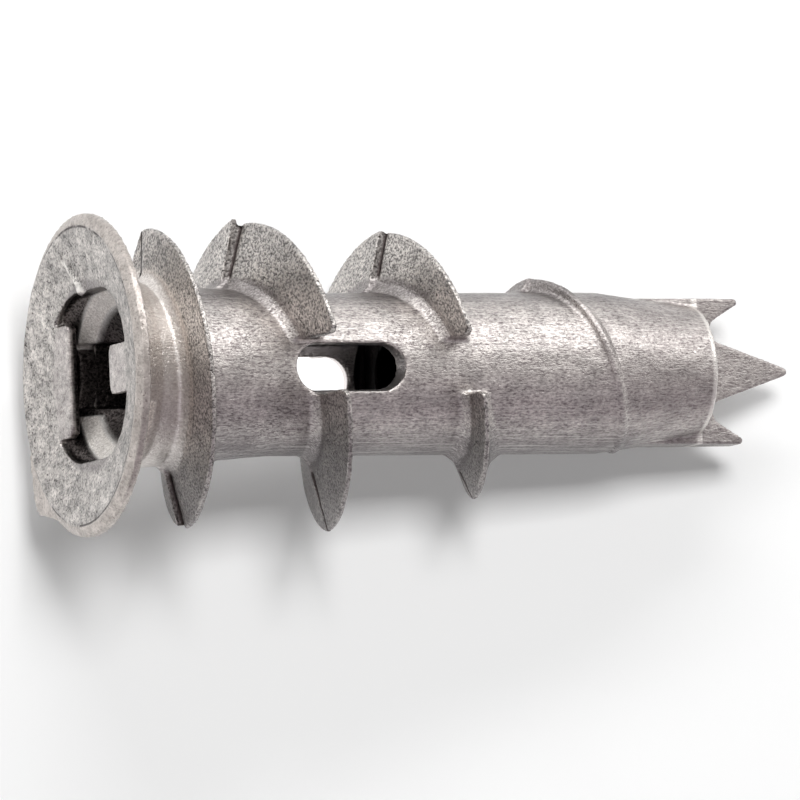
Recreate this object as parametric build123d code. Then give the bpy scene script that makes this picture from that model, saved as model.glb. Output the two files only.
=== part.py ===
from build123d import *
from math import cos, radians, sin, sqrt
import os

# Self-drilling drywall anchor, one zinc die casting, in millimetres.
#
# The anchor is drawn in its mould frame: X runs along the axis from the face of the head to the tip,
# the two mould halves part on the plane Y = 0, and Z is the height of the flat tip. Angles round the
# axis start at the top (+Z) and run clockwise seen from the head, which is also the way the thread turns.
# The finished casting is then laid on its far side, as it comes to rest.

# Head: a thin dished flange
head_radius = 7.94
head_rim = 0.36
head_bevel_depth = 0.27
head_bevel_width = 0.54
head_dish = 0.55
head_dish_radius = 4.75

# Body: neck taper, barrel, nose
neck_radius = 4.60
neck_start = 2.6
neck_flare = 0.8
taper_end = 9.8
barrel_radius = 4.02
barrel_end = 27.5
nose_end = 32.9
nose_radius = 3.30

# Drive recess in the face of the head
recess_width = 9.8
recess_height = 8.3
recess_corner = 3.5
recess_edge_depth = 1.6
recess_middle_depth = 5.0
lip_back = 1.05
lip_gap = 5.1
near_lip_height = 2.45
far_lip_height = 5.6
lip_round = 0.45

# Bore for the screw: an oblong slot that narrows, turned a little in the mould, then a round blind pilot
slot_turn = 5.0
slot_height = 3.14
slot_mouth_width = 8.0
slot_end_width = 5.9
slot_end = 16.4
pilot_radius = 1.5
pilot_end = 31.0

# Windows through the two long walls of the slot
window_start = 9.95
window_length = 5.8
window_height = 2.5
window_inner_length = 5.4
near_window_inner_height = 2.0
far_window_inner_height = 2.25

# Thread: a half-turn is moulded in each half of the mould, near (-Y) and far (+Y) in turn. Each has its
# root and its crest placed along the axis, and its crest radius, at its start, its middle and its end.
flight_roots = (
    (3.44, 3.80, 4.50),
    (4.24, 6.20, 7.68),
    (7.95, 10.55, 12.00),
    (11.85, 14.00, 15.56),
    (15.85, 18.60, 19.70),
    (19.60, 22.10, 23.80),
)
flight_crests = (
    (3.60, 3.90, 5.25),
    (4.90, 7.05, 8.50),
    (8.95, 10.75, 12.80),
    (12.85, 14.70, 16.38),
    (16.65, 18.60, 20.65),
    (20.70, 22.60, 24.25),
)
flight_radii = (
    (7.20, 7.35, 7.60),
    (7.45, 6.40, 7.75),
    (7.50, 7.55, 7.75),
    (7.80, 6.80, 7.15),
    (7.05, 6.15, 6.25),
    (6.25, 4.90, 4.80),
)
whole_flights = 2
flight_sections = 7
thread_lead_in = 2.2
crest_width = 0.26
least_rise = 0.48
root_flare = 0.40
flare_share = 0.35
flare_tuck = 0.03
root_sink = 0.60
back_lean_at_parting = 1.00
back_lean_at_side = 0.50

# Gap across the side of a broken flight
gap_half_height = 1.35
gap_round = 1.20
gap_over_crest = 0.20

# Low lead ridge that starts the thread behind the tip
lead_root = (23.95, 26.55, 28.15)
lead_crest = (24.30, 26.70, 28.20)
lead_radius = (4.72, 4.24, 4.04)
lead_back_lean = 1.10

# Spade tip, with a centre point between two spurs
length = 38.0
spade_start = 29.2
spade_half_height = 3.65
spade_half_thick = 0.95
spade_tip_half_thick = 0.32
spur_end = 35.2
spur_blunt = 0.30
notch_root = 32.75
notch_height = 1.90
notch_round = 0.6
point_blunt = 0.25

# Broken gate stub on the rim of the head: angle round the axis and height over the rim
gate_stub = ((211.0, -0.1), (224.6, 0.93), (231.3, 0.81), (238.0, 0.26), (245.0, -0.1))
gate_inset = 0.10
gate_root = 0.8

# How far a cutting tool runs past the surface it opens, and how far two tools run into each other
overcut = 1.0
overlap = 0.2

# How the casting lies on the ground: nose down, then over on its far side
rest_pitch = 10.3
rest_roll = 90.0
ground_tolerance = 0.01


def barrel_profile():
    """Stations of the plain body behind the head: place along the axis and radius."""
    return (
        (neck_start, neck_radius),
        (taper_end, barrel_radius),
        (barrel_end, barrel_radius),
        (nose_end, nose_radius),
    )


def body_radius(place):
    """Radius of the plain body at a place along the axis."""
    stations = barrel_profile()
    for (start, first), (end, last) in zip(stations, stations[1:]):
        if place <= end:
            share = max(0.0, (place - start) / (end - start))
            return first + (last - first) * share
    return nose_radius


def through_three(values, share):
    """Smooth value between the start, middle and end values of a half-turn."""
    start, middle, end = values
    return (
        start * (1 - share) * (1 - 2 * share)
        + 4 * middle * share * (1 - share)
        + end * share * (2 * share - 1)
    )


def radial_plane(angle):
    """Plane through the axis: its x runs along the axis and its y points out at the angle."""
    turn = radians(angle)
    return Plane(origin=(0, 0, 0), x_dir=(1, 0, 0), z_dir=(0, -cos(turn), -sin(turn)))


def turned_body():
    """Dished flange, flared neck, barrel and nose, turned about the axis."""
    rim_back = head_bevel_depth + head_rim
    with BuildPart() as turned:
        with BuildSketch(Plane.XY):
            with BuildLine():
                Polyline(
                    (nose_end, 0),
                    (head_dish, 0),
                    (head_dish, head_dish_radius),
                    (0, head_radius - head_bevel_width),
                    (head_bevel_depth, head_radius),
                    (rim_back, head_radius),
                    (rim_back, neck_radius + neck_flare),
                    *barrel_profile(),
                    close=True,
                )
            make_face()
        revolve(axis=Axis.X)
    return turned.part


def flight_section(root, crest, radius, back_lean, angle, flare):
    """Section of one flight: leaning flanks, a narrow flat crest, and flared roots unless flare is 0."""
    skin = body_radius(root)
    rise = max(radius - skin, least_rise)
    sunk = skin - root_sink
    crest_back = crest + crest_width
    back_root = crest_back + back_lean
    front, back = [(root, sunk)], [(back_root, sunk)]
    if flare:
        foot = skin - flare_tuck
        flare = min(flare, flare_share * rise)
        high = skin + flare
        front = [(root - flare, sunk), (root - flare, foot), (root + (crest - root) / rise * flare, high)]
        back = [(back_root + flare, sunk), (back_root + flare, foot), (back_root - back_lean / rise * flare, high)]
    outline = Polyline(*front, (crest, radius), (crest_back, radius), *reversed(back), close=True)
    return radial_plane(angle) * make_face(outline)


def half_flight(index, root, crest, radius, lean_at_parting, lean_at_side, flare):
    """One half-turn of flight, lofted through sections from one parting line to the other."""
    sections = []
    for step in range(flight_sections):
        share = step / (flight_sections - 1)
        side = sin(radians(180 * share))
        sections.append(
            flight_section(
                through_three(root, share),
                through_three(crest, share),
                through_three(radius, share),
                lean_at_parting + (lean_at_side - lean_at_parting) * side,
                180 * (index + share),
                flare,
            )
        )
    return loft(sections)


def gap_tool(side, root, crest, radius):
    """What the mould keeps clear across the side of a broken flight, -1 near and 1 far."""
    inner = barrel_radius - root_sink - overlap
    corner = radius[1] + gap_over_crest
    outer = max(radius) + overcut
    bend = gap_round * (1 - sqrt(0.5))
    wide = gap_half_height + gap_round
    edge = [
        (inner, gap_half_height),
        (corner - gap_round, gap_half_height),
        (corner - bend, gap_half_height + bend),
        (corner, wide),
        (outer, wide),
    ]
    top = [(side * reach, height) for reach, height in edge]
    low = [(reach, -height) for reach, height in top]
    outline = Wire([
        Line(low[0], top[0]),
        Line(top[0], top[1]),
        ThreePointArc(*top[1:4]),
        Line(top[3], top[4]),
        Line(top[4], low[4]),
        Line(low[4], low[3]),
        ThreePointArc(low[3], low[2], low[1]),
        Line(low[1], low[0]),
    ])
    end = crest[2] + back_lean_at_parting + overcut
    return extrude(across_axis(root[0]) * make_face(outline), end - root[0])


def thread():
    """The flights of the thread, one for each half-turn, with the broken ones cut through."""
    flights = []
    for index, shape in enumerate(zip(flight_roots, flight_crests, flight_radii)):
        flight = half_flight(index, *shape, back_lean_at_parting, back_lean_at_side, root_flare)
        if index >= whole_flights:
            flight = flight - gap_tool(-1 if index % 2 == 0 else 1, *shape)
        flights.append(flight)
    return flights


def thread_start():
    """Straight piece before the first half-turn, cut off on a slope where the thread starts."""
    root, crest, radius = (values[0][0] for values in (flight_roots, flight_crests, flight_radii))
    section = flight_section(root, crest, radius, back_lean_at_parting, 0, root_flare)
    piece = extrude(section, thread_lead_in, dir=(0, 1, 0))
    slope = Plane(
        origin=(0, 0, radius), x_dir=(1, 0, 0), z_dir=(0, radius - body_radius(root), thread_lead_in)
    )
    return split(piece, bisect_by=slope, keep=Keep.BOTTOM)


def across_axis(place):
    """Plane square to the axis, with its x along Y and its y along Z."""
    return Plane(origin=(place, 0, 0), x_dir=(0, 1, 0), z_dir=(1, 0, 0))


def lead_ridge():
    """Low ridge over the last near half-turn, which starts the thread behind the tip. It has no flares."""
    return half_flight(len(flight_roots), lead_root, lead_crest, lead_radius, lead_back_lean, lead_back_lean, 0)


def spade_tip():
    """Flat tip on the parting plane: a centre point between two spurs, thinner towards its end."""
    upper = [
        (spade_start, spade_half_height),
        (spur_end, spade_half_height),
        (spur_end + spur_blunt / 3, spade_half_height - spur_blunt),
        (notch_root, notch_height),
        (length - point_blunt, point_blunt),
        (length, point_blunt / 2),
    ]
    lower = [(place, -height) for place, height in reversed(upper)]
    outline = Plane.XZ * make_face(Polyline(*upper, *lower, close=True))
    notches = [v for v in outline.vertices() if abs(v.X - notch_root) < 0.001]
    outline = fillet(notches, notch_round)
    slab = extrude(outline, spade_half_thick, both=True)
    top = [
        (spade_start, spade_half_thick),
        (nose_end, spade_half_thick),
        (length, spade_tip_half_thick),
    ]
    bottom = [(place, -half) for place, half in reversed(top)]
    wedge = extrude(make_face(Polyline(*top, *bottom, close=True)), spade_half_height + overcut, both=True)
    return slab & wedge


def gate_vestige():
    """Broken stub of the gate, on the rim of the head."""
    points = []
    for angle, height in gate_stub:
        turn = radians(angle)
        reach = head_radius + height
        points.append((-reach * sin(turn), reach * cos(turn)))
    first, last = radians(gate_stub[0][0]), radians(gate_stub[-1][0])
    inner = head_radius - gate_root
    points.append((-inner * sin(last), inner * cos(last)))
    points.append((-inner * sin(first), inner * cos(first)))
    outline = across_axis(gate_inset) * make_face(Polyline(*points, close=True))
    return extrude(outline, head_bevel_depth + head_rim - gate_inset)


def lip(side, height):
    """Block that stays as a lip on one side of the recess, -1 near and 1 far."""
    reach = recess_width / 2
    plate = RectangleRounded(reach, height, lip_round)
    return extrude(across_axis(0) * Pos(side * (lip_gap + reach) / 2, 0) * plate, lip_back)


def drive_recess():
    """Oval pocket in the dished face with a funnel floor, less the two lips that stand into it."""
    oval = RectangleRounded(recess_width, recess_height, recess_corner)
    walls = extrude(across_axis(-overcut) * oval, recess_middle_depth + overcut)
    slope = (recess_middle_depth - recess_edge_depth) / (recess_height / 2)
    reach = recess_width / 2 + overcut
    funnel = revolve(
        make_face(
            Polyline(
                (-overcut, 0),
                (-overcut, reach),
                (recess_middle_depth - slope * reach, reach),
                (recess_middle_depth, 0),
                close=True,
            )
        ),
        axis=Axis.X,
    )
    return (walls & funnel) - lip(-1, near_lip_height) - lip(1, far_lip_height)


def screw_bore():
    """Oblong slot that narrows towards its end, then the round blind pilot."""
    plan = Polyline(
        (lip_back, -slot_mouth_width / 2),
        (slot_end, -slot_end_width / 2),
        (slot_end, slot_end_width / 2),
        (lip_back, slot_mouth_width / 2),
        close=True,
    )
    slot = Rot(slot_turn, 0, 0) * extrude(make_face(plan), slot_height / 2, both=True)
    pilot = extrude(across_axis(slot_end - overcut) * Circle(pilot_radius), pilot_end - slot_end + overcut)
    return slot, pilot


def window(side, inner_height):
    """Round-ended window through one wall of the slot, -1 near and 1 far, wider at the skin."""
    inner = slot_end_width / 2
    wall = barrel_radius - inner
    sections = []
    for reach in (inner - overlap, barrel_radius + overcut):
        share = (reach - inner) / wall
        plane = Plane(
            origin=(window_start + window_length / 2, side * reach, 0), x_dir=(1, 0, 0), z_dir=(0, side, 0)
        )
        long = window_inner_length + (window_length - window_inner_length) * share
        high = inner_height + (window_height - inner_height) * share
        sections.append(plane * SlotOverall(long, high))
    return loft(sections)


def anchor():
    """The whole casting in its mould frame."""
    casting = turned_body()
    for piece in (thread_start(), *thread(), lead_ridge(), spade_tip(), gate_vestige()):
        casting = casting + piece
    slot, pilot = screw_bore()
    openings = (window(-1, near_window_inner_height), window(1, far_window_inner_height))
    for tool in (drive_recess(), slot, pilot, *openings):
        casting = casting - tool
    return casting


def laid_down(casting):
    """At rest on the nose and a broken flight of the far side, with the ground at Z = 0."""
    turned = Rot(0, rest_pitch, 0) * Rot(-rest_roll, 0, 0) * casting
    points = [tuple(point) for point in turned.tessellate(ground_tolerance)[0]]
    low = [min(values) for values in zip(*points)]
    high = [max(values) for values in zip(*points)]
    return Pos(-(low[0] + high[0]) / 2, -(low[1] + high[1]) / 2, -low[2]) * turned


os.makedirs("parts", exist_ok=True)
export_step(laid_down(anchor()), "parts/anchor.step")
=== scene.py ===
from math import cos, hypot, radians, sin

import bmesh
import bpy
from mathutils import Matrix, Vector, noise


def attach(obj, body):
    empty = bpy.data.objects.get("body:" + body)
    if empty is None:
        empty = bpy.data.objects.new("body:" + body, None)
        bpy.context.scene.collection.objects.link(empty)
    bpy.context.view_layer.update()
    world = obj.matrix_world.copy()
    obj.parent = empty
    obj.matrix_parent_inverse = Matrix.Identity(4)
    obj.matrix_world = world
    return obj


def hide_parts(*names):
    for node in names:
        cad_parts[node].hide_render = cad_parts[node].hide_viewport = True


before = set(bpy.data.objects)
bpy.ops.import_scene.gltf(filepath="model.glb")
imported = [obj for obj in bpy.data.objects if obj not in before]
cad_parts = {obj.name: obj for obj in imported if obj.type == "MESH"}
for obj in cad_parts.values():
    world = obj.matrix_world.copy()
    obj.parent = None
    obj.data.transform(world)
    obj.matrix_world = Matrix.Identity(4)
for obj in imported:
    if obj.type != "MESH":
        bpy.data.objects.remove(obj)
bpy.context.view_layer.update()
bpy.context.scene.view_settings.view_transform = "Standard"


# The casting. The whole anchor is one zinc die casting, knocked out of a two-part mould: its edges are
# rounded by the metal, its flights flare into the barrel, and its skin is dull and faintly wavy.
# The solid gives every main form, and this finer skin of it adds what the mould leaves.
mm = 0.001
axis_dip = radians(10.3)
face_centre = Vector((-18.0609, -0.0009, 9.1848)) * mm
ground_to_mould = (Matrix.Translation(face_centre) @ Matrix.Rotation(axis_dip, 4, "Y")).inverted()

# The skin's cells and its waves, in millimetres, as every size of the casting and its finish is.
skin_cell = 0.10
edge_rounds = 1
skin_triangles = 190000
skin_wave, long_wave, short_wave = 0.018, 0.9, 0.3

# A groove down each flight, where the two halves of the mould met, a little off the middle.
behind_head = 3.0
flight_foot = 4.75
parting_depth, parting_half_width, parting_shift = 0.10, 0.16, 0.05

# A ridge of folded metal on the face, left where the stream met above the recess. Its top and its foot each
# have a place across the face, a rise and a half width.
face_skin = 0.7
ridge_low, ridge_high = 4.15, 5.95
ridge_top = Vector((-2.15, 0.08, 0.18))
ridge_foot = Vector((-0.45, 0.28, 0.58))

# A faint groove round the face, a little inside the rim and off its centre.
rim_skin = 0.5
rim_radius, rim_depth, rim_half_width, ring_shift = 7.32, 0.06, 0.16, 0.22


def with_modifier(piece, kind, **settings):
    """Puts one modifier on a piece and keeps what it makes as the piece's mesh."""
    modifier = piece.modifiers.new(kind.lower(), kind)
    for name, value in settings.items():
        setattr(modifier, name, value)
    made = bpy.data.meshes.new_from_object(piece.evaluated_get(bpy.context.evaluated_depsgraph_get()))
    piece.modifiers.clear()
    piece.data = made


def crease(off_middle, half_width):
    """Share of a crease's depth at a distance from its middle line."""
    return max(0, 1 - abs(off_middle) / half_width)


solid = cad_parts["anchor"]
shape = bmesh.new()
shape.from_mesh(solid.data)
bmesh.ops.remove_doubles(shape, verts=shape.verts, dist=0.001 * mm)

casting = bpy.data.objects.new("anchor_casting", bpy.data.meshes.new("anchor_casting"))
bpy.context.scene.collection.objects.link(casting)
shape.to_mesh(casting.data)
shape.free()

with_modifier(casting, "REMESH", mode="VOXEL", voxel_size=skin_cell * mm)
with_modifier(casting, "SMOOTH", factor=0.5, iterations=edge_rounds)
triangles = sum(len(face.vertices) - 2 for face in casting.data.polygons)
with_modifier(casting, "DECIMATE", ratio=skin_triangles / triangles)

places = [ground_to_mould @ point.co / mm for point in casting.data.vertices]
outward = [point.normal.copy() for point in casting.data.vertices]
for point, place, way in zip(casting.data.vertices, places, outward):
    along, height, towards = place
    sunk = skin_wave * (1 + 0.6 * noise.noise(place / long_wave) + 0.4 * noise.noise(place / short_wave))
    if hypot(height, towards) > flight_foot and along > behind_head:
        sunk += parting_depth * crease(towards - parting_shift, parting_half_width)
    if along < face_skin and ridge_low < height < ridge_high:
        down_ridge = (ridge_high - height) / (ridge_high - ridge_low)
        middle, rise, half_width = ridge_top.lerp(ridge_foot, down_ridge)
        sunk -= rise * crease(towards - middle, half_width)
    if along < rim_skin:
        sunk += rim_depth * crease(hypot(height, towards + ring_shift) - rim_radius, rim_half_width)
    point.co -= way * sunk * mm
casting.data.shade_smooth()


# Its finish. Bare zinc alloy as it left the mould, never plated or polished: dull, mottled grey and finely
# pitted, with grains on the flights and the face and streaks along the barrel, where the mould drew off it.
def linear(hex_colour):
    """Linear red, green, blue and alpha of an sRGB hex colour."""
    parts = [int(hex_colour[i : i + 2], 16) / 255 for i in (1, 3, 5)]
    return [c / 12.92 if c <= 0.04045 else ((c + 0.055) / 1.055) ** 2.4 for c in parts] + [1]


def add(tree, kind, inputs=None, output=0, **settings):
    """Adds one node with its settings, gives each input its value or its link, and returns one output."""
    made = tree.nodes.new("ShaderNode" + kind)
    for name, value in settings.items():
        setattr(made, name, value)
    for name, value in (inputs or {}).items():
        if isinstance(value, bpy.types.NodeSocket):
            tree.links.new(value, made.inputs[name])
        else:
            made.inputs[name].default_value = value
    return made.outputs[output] if made.outputs else None


# Where the marks on the casting begin and end: radii and half widths across the axis, and places along it.
barrel_radius, neck_radius, nose_edge_radius = 4.5, 5.1, 1.4
neck_start, neck_end = 1.3, 3.6
window_start, window_end = 9.9, 15.8
nose_start, nose_dull, nose_end = 25.5, 29.5, 32.9
flank_low, flank_high = 2.9, 3.7
lip_half_gap = 1.62
bore_start, bore_end, bore_radius = 2.55, 28.9, 4.52
funnel_start, funnel_radius, lit_mouth_end = 1.6, 4.94, 2.15
mouth_start, deep_start, deep_full = 0.86, 3.2, 5.5
sill_low, sill_high = 3.3, 3.91
lower_start, lower_full = -2.4, -4.4
shine_top, shine_foot = 0.20, 0.55

zinc = bpy.data.materials.new("zinc_alloy_as_cast")
zinc.use_nodes = True
tree = zinc.node_tree
tree.nodes.clear()

# The place on the casting as the mould holds it: along the axis from the face, height, and across the
# parting plane.
place = add(tree, "TexCoord", output="Object")
lying = {"Vector": place, "Location": face_centre, "Rotation": (0, axis_dip, 0), "Scale": (mm, mm, mm)}
mould = add(tree, "Mapping", lying, vector_type="TEXTURE")
drawn = add(tree, "Mapping", {"Vector": mould, "Scale": (0.38, 1, 1)})
long_drawn = add(tree, "Mapping", {"Vector": mould, "Scale": (0.03, 1, 1)})
along, height, towards = add(tree, "SeparateXYZ", {0: mould}).node.outputs
off_middle = add(tree, "Math", {0: height}, operation="ABSOLUTE")
across = add(tree, "VectorMath", {0: mould, 1: (0, 1, 1)}, operation="MULTIPLY")
radius = add(tree, "VectorMath", {0: across}, "Value", operation="LENGTH")
ring = add(tree, "VectorMath", {0: across, 1: (0, 0, -ring_shift)}, "Value", operation="DISTANCE")


def within(*limits, most=1.0):
    """Share of a mark that lies inside every limit: a measure, where the mark starts and where it is full."""
    share = most
    for measure, start, full in limits:
        inside = add(tree, "MapRange", {"Value": measure, "From Min": start, "From Max": full})
        share = add(tree, "Math", {0: share, 1: inside}, operation="MULTIPLY")
    return share


def grains(vector, size, detail, low, high, most=1.0):
    """Pattern whose grains are about this size across, with its middle tones spread out."""
    pattern = add(tree, "TexNoise", {"Vector": vector, "Scale": 1 / size, "Detail": detail, "Roughness": 0.6})
    return add(tree, "MapRange", {"Value": pattern, "From Min": low, "From Max": high, "To Max": most})


# Grains as fine as the photograph shows them, drawn to streaks on the barrel and mixed with small clouds on
# the face, under wide blotches.
on_barrel = within((radius, barrel_radius + 0.4, barrel_radius), most=0.75)
grain = grains(mould, 0.13, 2, 0.39, 0.59)
streak = grains(drawn, 0.085, 3, 0.37, 0.61)
cloud = grains(mould, 0.55, 2, 0.35, 0.65)
blotch = grains(mould, 1.3, 4, 0.36, 0.64)
on_face = within((along, face_skin + 0.25, face_skin + 0.05))
clouded = add(tree, "MapRange", {"Value": on_face, "To Min": 0.15, "To Max": 0.5})
fine = add(tree, "Mix", {0: on_barrel, 2: grain, 3: streak})
fine = add(tree, "Mix", {0: clouded, 2: fine, 3: cloud})
tones = []
clean_and_worn = (("#646261", "#64595c", "#cdc8c4"), ("#858280", "#877b7e", "#ebe5e0"))
for off_barrel_dark, barrel_dark, light in clean_and_worn:
    darks = {0: on_barrel, 6: linear(off_barrel_dark), 7: linear(barrel_dark)}
    dark = add(tree, "Mix", darks, 2, data_type="RGBA")
    tones.append(add(tree, "Mix", {0: fine, 6: dark, 7: linear(light)}, 2, data_type="RGBA"))
skin = add(tree, "Mix", {0: blotch, 6: tones[0], 7: tones[1]}, 2, data_type="RGBA")

# The nose is a plainer grey, pits are fewest on the barrel, and long faint lines run along the barrel.
# Painted shade darkens the barrel's two flanks and the lower side of the flights, and a painted highlight
# lightens the neck.
nose = within((along, nose_start, nose_dull), most=0.4)
# Painted shade on both flanks of the barrel.
flanks = within(
    (off_middle, flank_low, flank_high),
    (radius, barrel_radius + 0.4, barrel_radius + 0.1),
    (along, nose_dull + 0.5, nose_dull - 0.5),
    most=0.6,
)
# Painted shade on the lower side of the flights and the barrel.
lower = within((height, lower_start, lower_full), (along, behind_head, behind_head + 2.0), most=0.5)
pits = grains(mould, 0.15, 1, 0.63, 0.71)
off_barrel = add(tree, "Math", {0: 1.0, 1: on_barrel}, operation="SUBTRACT")
pitted = add(tree, "Math", {0: pits, 1: off_barrel}, operation="MULTIPLY")
# Painted highlight: the neck is coloured light where light falls on it.
neck = within(
    (along, neck_start - 0.3, neck_start),
    (along, neck_end + 1.0, neck_end),
    (radius, neck_radius + 0.2, neck_radius),
    most=0.95,
)
neck_painted_sheen = add(tree, "Mix", {0: fine, 6: linear("#cfc6c1"), 7: linear("#fffaf5")}, 2, data_type="RGBA")
lines = grains(long_drawn, 0.09, 2, 0.50, 0.66, 0.3)
lines = within((radius, barrel_radius + 0.4, barrel_radius), most=lines)
coats = [
    (nose, linear("#8c8483")),
    (flanks, linear("#5d585a")),
    (lower, linear("#5a5357")),
    (pitted, linear("#4c4645")),
    (neck, neck_painted_sheen),
    (lines, linear("#f0ece8")),
]

# The bevel outside the face's groove is lighter. A broken dark line lies in that groove, and a whole
# one in the groove of each flight.
bevel = within((ring, rim_radius, rim_radius + 0.10), (along, face_skin + 0.1, face_skin), most=0.5)
rim = within(
    (ring, rim_radius + 0.08, rim_radius + 0.03),
    (ring, rim_radius - 0.08, rim_radius - 0.03),
    (along, rim_skin + 0.1, rim_skin),
    most=grains(mould, 1.1, 2, 0.44, 0.52),
)
parting = within(
    (towards, parting_shift + 0.15, parting_shift + 0.09),
    (towards, parting_shift - 0.15, parting_shift - 0.09),
    (radius, flight_foot - 0.05, flight_foot + 0.15),
    (along, behind_head, behind_head + 0.1),
)
grooves = add(tree, "Math", {0: parting, 1: rim}, operation="MAXIMUM")
coats += [(bevel, linear("#c4bab3")), (grooves, linear("#4d4645"))]

# Painted highlights: the folded ridge is painted as if it shines, wider towards its foot, and so is the edge
# where the nose ends at the spade.
down_ridge = within((height, ridge_high, ridge_low))
slant = {0: down_ridge, 1: ridge_foot.x - ridge_top.x, 2: ridge_top.x}
ridge_middle = add(tree, "Math", slant, operation="MULTIPLY_ADD")
widening = {0: down_ridge, 1: shine_foot - shine_top, 2: shine_top}
ridge_reach = add(tree, "Math", widening, operation="MULTIPLY_ADD")
off_ridge = add(tree, "Math", {0: towards, 1: ridge_middle}, operation="SUBTRACT")
off_ridge = add(tree, "Math", {0: off_ridge}, operation="ABSOLUTE")
off_ridge = add(tree, "Math", {0: off_ridge, 1: ridge_reach}, operation="DIVIDE")
ridge = within(
    (off_ridge, 1.0, 0.3),
    (down_ridge, 0.02, 0.12),
    (height, ridge_low - 0.1, ridge_low),
    (along, face_skin + 0.1, face_skin),
    (fine, 0.1, 0.4),
    most=0.9,
)
nose_edge = within(
    (along, nose_end - 0.35, nose_end - 0.2),
    (along, nose_end + 0.05, nose_end),
    (radius, nose_edge_radius - 0.2, nose_edge_radius),
    most=0.6,
)
painted_highlights = add(tree, "Math", {0: ridge, 1: nose_edge}, operation="MAXIMUM")
coats.append((painted_highlights, linear("#fbf7f2")))

# Painted shade: little light comes back out of the bore and the recess, so they are painted near black.
# The funnel's mouth and the windows' sills are painted light where light falls on them.
by_windows = within((along, window_start - 0.5, window_start), (along, window_end + 0.4, window_end))
wall = add(tree, "Math", {0: along, 1: 0.075, 2: radius}, operation="MULTIPLY_ADD")
wall = add(tree, "Math", {0: by_windows, 1: 0.5, 2: wall}, operation="MULTIPLY_ADD")
bore = within(
    (wall, bore_radius + 0.1, bore_radius),
    (along, bore_start - 0.1, bore_start),
    (along, bore_end + 0.1, bore_end),
)
past_mouth = add(tree, "Math", {0: along, 1: funnel_start}, operation="SUBTRACT")
past_mouth = add(tree, "Math", {0: past_mouth, 1: 0.0}, operation="MAXIMUM")
funnel = add(tree, "Math", {0: radius, 1: past_mouth}, operation="ADD")
in_funnel = within((funnel, funnel_radius + 0.06, funnel_radius))
hollow = add(tree, "Math", {0: bore, 1: in_funnel}, operation="MAXIMUM")
hollow = within((along, mouth_start - 0.08, mouth_start), most=hollow)
# Painted highlight on the windows' sills.
sill = within((radius, sill_high + 0.06, sill_high), (radius, sill_low - 0.2, sill_low), most=by_windows)
# Painted light: a patch at the funnel's mouth, lit through the recess's opening, is also made rougher.
lit_mouth = within(
    (along, funnel_start - 0.15, funnel_start),
    (along, lit_mouth_end + 0.3, lit_mouth_end),
    (off_middle, lip_half_gap, lip_half_gap + 0.1),
)
bright = add(tree, "Mix", {0: fine, 6: linear("#d8d3ce"), 7: linear("#fffdfa")}, 2, data_type="RGBA")
# Painted shade for the bore and the recess, darkest deep inside.
shaded = add(tree, "Mix", {0: grain, 6: linear("#2c2827"), 7: linear("#6a6462")}, 2, data_type="RGBA")
deep_in = within((along, deep_start, deep_full))
deep = add(tree, "Mix", {0: deep_in, 6: shaded, 7: linear("#151213")}, 2, data_type="RGBA")
inside = add(tree, "Mix", {0: lit_mouth, 6: deep, 7: bright}, 2, data_type="RGBA")
coats += [(sill, linear("#f1ebe9")), (hollow, inside)]

for share, colour in coats:
    skin = add(tree, "Mix", {0: share, 6: skin, 7: colour}, 2, data_type="RGBA")
roughness = add(tree, "MapRange", {"Value": fine, "To Min": 0.38, "To Max": 0.28})
lit_mouth_rough = add(tree, "Math", {0: lit_mouth, 1: 0.85}, operation="MULTIPLY")
roughness = add(tree, "Math", {0: roughness, 1: lit_mouth_rough}, operation="MAXIMUM")
relief = add(tree, "Math", {0: fine, 1: pits}, operation="SUBTRACT")
normal = add(tree, "Bump", {"Height": relief, "Strength": 0.6, "Distance": 0.02 * mm})
metal = {"Base Color": skin, "Metallic": 1.0, "Roughness": roughness, "Normal": normal}
add(tree, "OutputMaterial", {"Surface": add(tree, "BsdfPrincipled", metal)})
casting.data.materials.clear()
casting.data.materials.append(zinc)
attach(casting, "root")
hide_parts("anchor")


# The table it lies on: a plain pale board. A weak glow, the same for the camera and the metal, makes it
# nearly white outside the soft shadow, and painted light makes one disc fully white inside the anchor's
# shadow, where it is seen through the windows.
under_windows = Vector((-3.8, 0.6, 0)) * mm
disc_inner, disc_outer = 1.6 * mm, 2.0 * mm
disc_painted_light, board_glow = 1.0, 0.18
board_half = 1.5
floor = bpy.data.objects.new("floor", bpy.data.meshes.new("floor"))
bpy.context.scene.collection.objects.link(floor)
shape = bmesh.new()
bmesh.ops.create_grid(shape, x_segments=1, y_segments=1, size=board_half)
shape.to_mesh(floor.data)
shape.free()
board = bpy.data.materials.new("white_board")
board.use_nodes = True
tree = board.node_tree
tree.nodes.clear()
path = add(tree, "LightPath").node.outputs
seen = add(tree, "Math", {0: path["Is Camera Ray"], 1: path["Is Glossy Ray"]}, operation="MAXIMUM")
seen = add(tree, "Math", {0: seen, 1: path["Is Transmission Ray"]}, operation="MAXIMUM")
spot = add(tree, "TexCoord", output="Object")
off_disc = add(tree, "VectorMath", {0: spot, 1: under_windows}, "Value", operation="DISTANCE")
fade = {"From Min": disc_inner, "From Max": disc_outer, "To Min": disc_painted_light, "To Max": board_glow}
glow = add(tree, "MapRange", {"Value": off_disc} | fade)
glow = add(tree, "Math", {0: seen, 1: glow}, operation="MULTIPLY")
paper = add(tree, "BsdfDiffuse", {"Color": linear("#e8e8e8")})
lit_paper = add(tree, "AddShader", {0: paper, 1: add(tree, "Emission", {"Strength": glow})})
add(tree, "OutputMaterial", {"Surface": lit_paper})
floor.data.materials.append(board)


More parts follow.
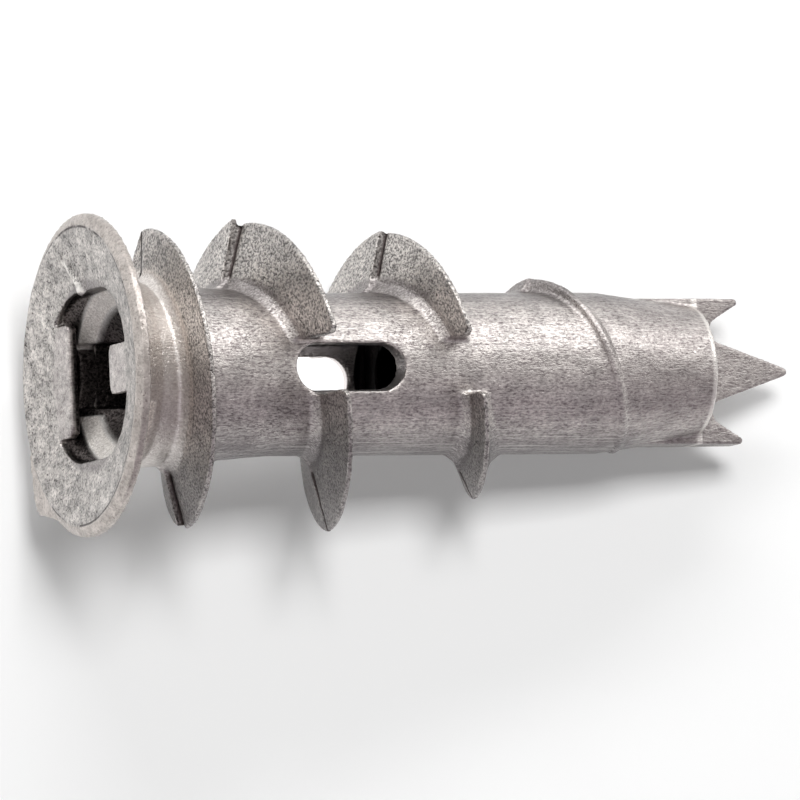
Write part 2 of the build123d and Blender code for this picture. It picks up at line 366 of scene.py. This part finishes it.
# The light. A high softbox and a low one beyond the far edge of the table light it, so the shadow is short
# and falls towards the viewer. A long panel between them is what the metal shows as the bright band along
# the barrel, and the room round them is even, and a little darker on the viewer's side.
def softbox(name, elevation, distance, width, height, power):
    """Area lamp beyond the table's far edge, at an elevation in degrees, that looks at the anchor."""
    lamp = bpy.data.lights.new(name, "AREA")
    lamp.shape = "RECTANGLE"
    lamp.size = width
    lamp.size_y = height
    lamp.energy = power
    held = bpy.data.objects.new(name, lamp)
    bpy.context.scene.collection.objects.link(held)
    direction = Vector((0, cos(radians(elevation)), sin(radians(elevation))))
    held.location = direction * distance
    held.rotation_euler = direction.to_track_quat("Z", "Y").to_euler()
    return held


softbox("overhead_softbox", 70.0, 0.6, 0.20, 0.17, 2.6).visible_glossy = False
softbox("low_fill", 30.0, 0.6, 0.5, 0.08, 1.7).visible_glossy = False
softbox("far_panel", 36.07, 0.5, 2.0, 0.34, 4.3).visible_diffuse = False

viewers_walls = (0.46, 0.42, 0.45, 1)
far_walls = (0.70, 0.69, 0.68, 1)
light_on_table = (0.14, 0.14, 0.14, 1)
world = bpy.data.worlds.new("room")
bpy.context.scene.world = world
world.use_nodes = True
tree = world.node_tree
tree.nodes.clear()
way = add(tree, "TexCoord", output="Generated")
far_side = add(tree, "SeparateXYZ", {0: way}, "Y")
far_side = add(tree, "MapRange", {"Value": far_side, "From Min": -0.6, "From Max": 0.2})
walls = add(tree, "Mix", {0: far_side, 6: viewers_walls, 7: far_walls}, 2, data_type="RGBA")
on_table = add(tree, "LightPath", output="Is Diffuse Ray")
walls = add(tree, "Mix", {0: on_table, 6: walls, 7: light_on_table}, 2, data_type="RGBA")
add(tree, "OutputWorld", {"Surface": add(tree, "Background", {"Color": walls})})


# The camera: a long lens well above the table, a little to the head's side, as the photograph was taken.
lens = bpy.data.cameras.new("camera")
lens.lens = 644.805
lens.sensor_width = 36
camera = bpy.data.objects.new("camera", lens)
bpy.context.scene.collection.objects.link(camera)
camera.location = (-0.1607762, -0.0634853, 0.6917172)
camera.rotation_euler = [radians(angle) for angle in (5.6198, -12.8655, -2.5352)]
bpy.context.scene.camera = camera
